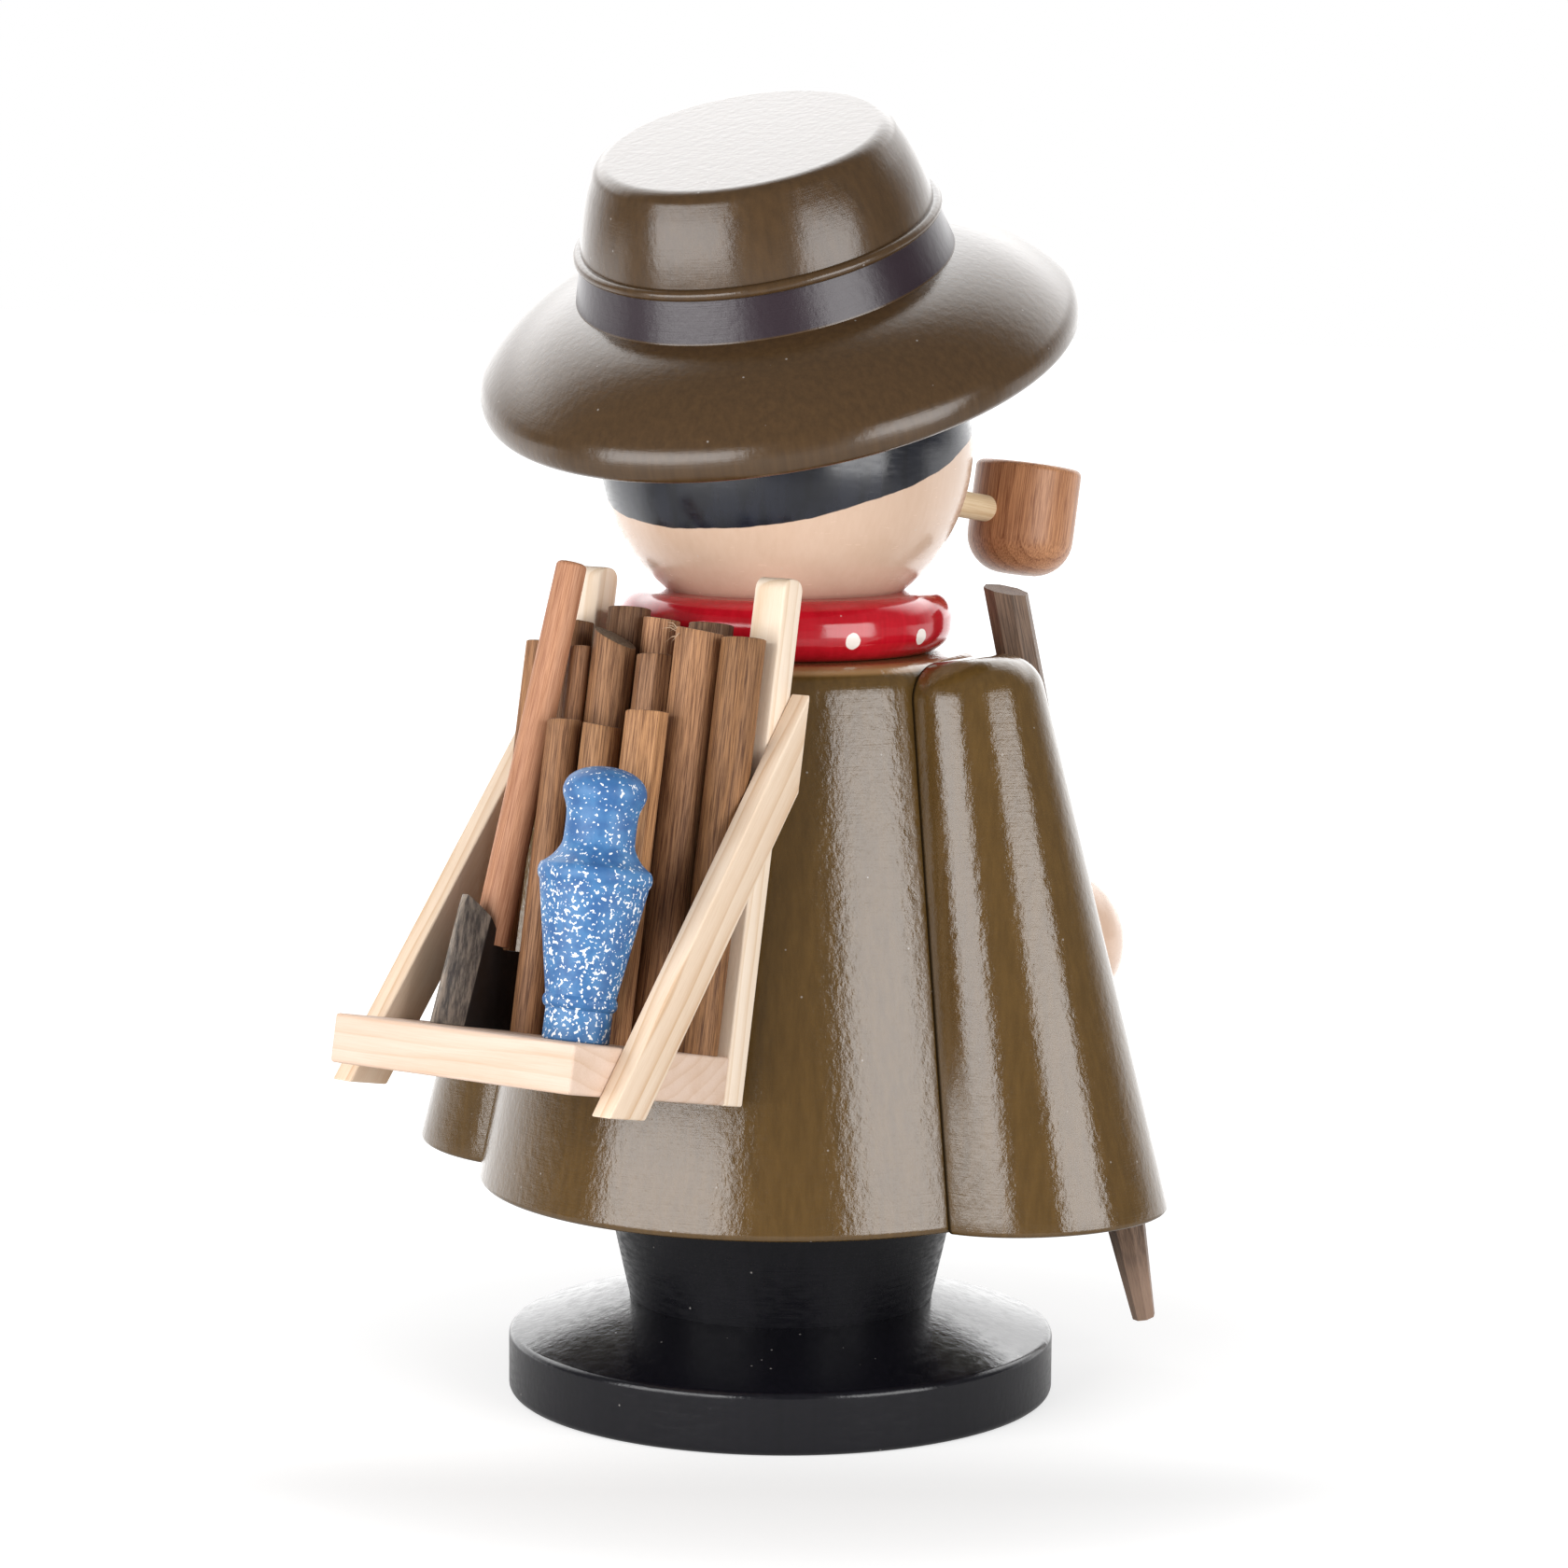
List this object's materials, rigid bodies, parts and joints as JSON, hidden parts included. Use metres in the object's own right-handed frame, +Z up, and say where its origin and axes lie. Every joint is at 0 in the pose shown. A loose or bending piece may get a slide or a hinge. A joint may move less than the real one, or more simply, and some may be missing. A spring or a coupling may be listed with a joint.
{
  "type": "incense smoker figure",
  "caption": "Turned wooden incense smoker: a hatted wood gatherer with staff, pipe and a loaded carrying frame, hollow body lifts off a round base with a dish",
  "frame": {"origin": "centre of the base's underside, on the surface that it stands on", "axes": "+Z up, the figure faces -Y with its right hand at -X"},
  "size_m": [0.093, 0.1018, 0.142],
  "materials": {
    "lacquer_black": "gloss",
    "lacquer_olive": "gloss",
    "lacquer_skin": "gloss",
    "lacquer_red": "gloss",
    "lacquer_hat": "gloss",
    "lacquer_blue": "gloss",
    "pale_wood": "raw",
    "stick_wood": "raw",
    "staff_wood": "stained",
    "handle_wood": "raw",
    "pipe_wood": "satin",
    "axe_black": "gloss",
    "tin": "bright"
  },
  "bodies": {
    "base": {"base_disc": "lacquer_black", "legs": "lacquer_black", "leg_dowel": "pale_wood", "incense_dish": "tin", "dish_nail": "tin"},
    "figure": {"coat_body": "lacquer_olive", "right_arm": "lacquer_olive", "left_arm": "lacquer_olive", "right_hand": "lacquer_skin", "left_hand": "lacquer_skin", "staff": "staff_wood", "scarf_ring": "lacquer_red", "head": "lacquer_skin", "nose": "lacquer_skin", "hat": "lacquer_hat", "hat_dowel": "pale_wood", "pipe_bowl": "pipe_wood", "pipe_stem": "pale_wood", "shelf_board": "pale_wood", "right_post": "pale_wood", "left_post": "pale_wood", "cross_rail": "pale_wood", "right_strut": "pale_wood", "left_strut": "pale_wood", "axe_handle": "handle_wood", "axe_head": "axe_black", "bottle": "lacquer_blue", "stick_01": "stick_wood", "stick_02": "stick_wood", "stick_03": "stick_wood", "stick_04": "stick_wood", "stick_05": "stick_wood", "stick_06": "stick_wood", "stick_07": "stick_wood", "stick_08": "stick_wood", "stick_09": "stick_wood", "stick_10": "stick_wood", "stick_11": "stick_wood", "stick_12": "stick_wood", "stick_13": "stick_wood"}
  },
  "joints": [
    {"name": "figure_lift", "type": "slide", "parent": "base", "child": "figure", "axis": [0, 0, 1], "range_m": [0, 0.045]}
  ]
}
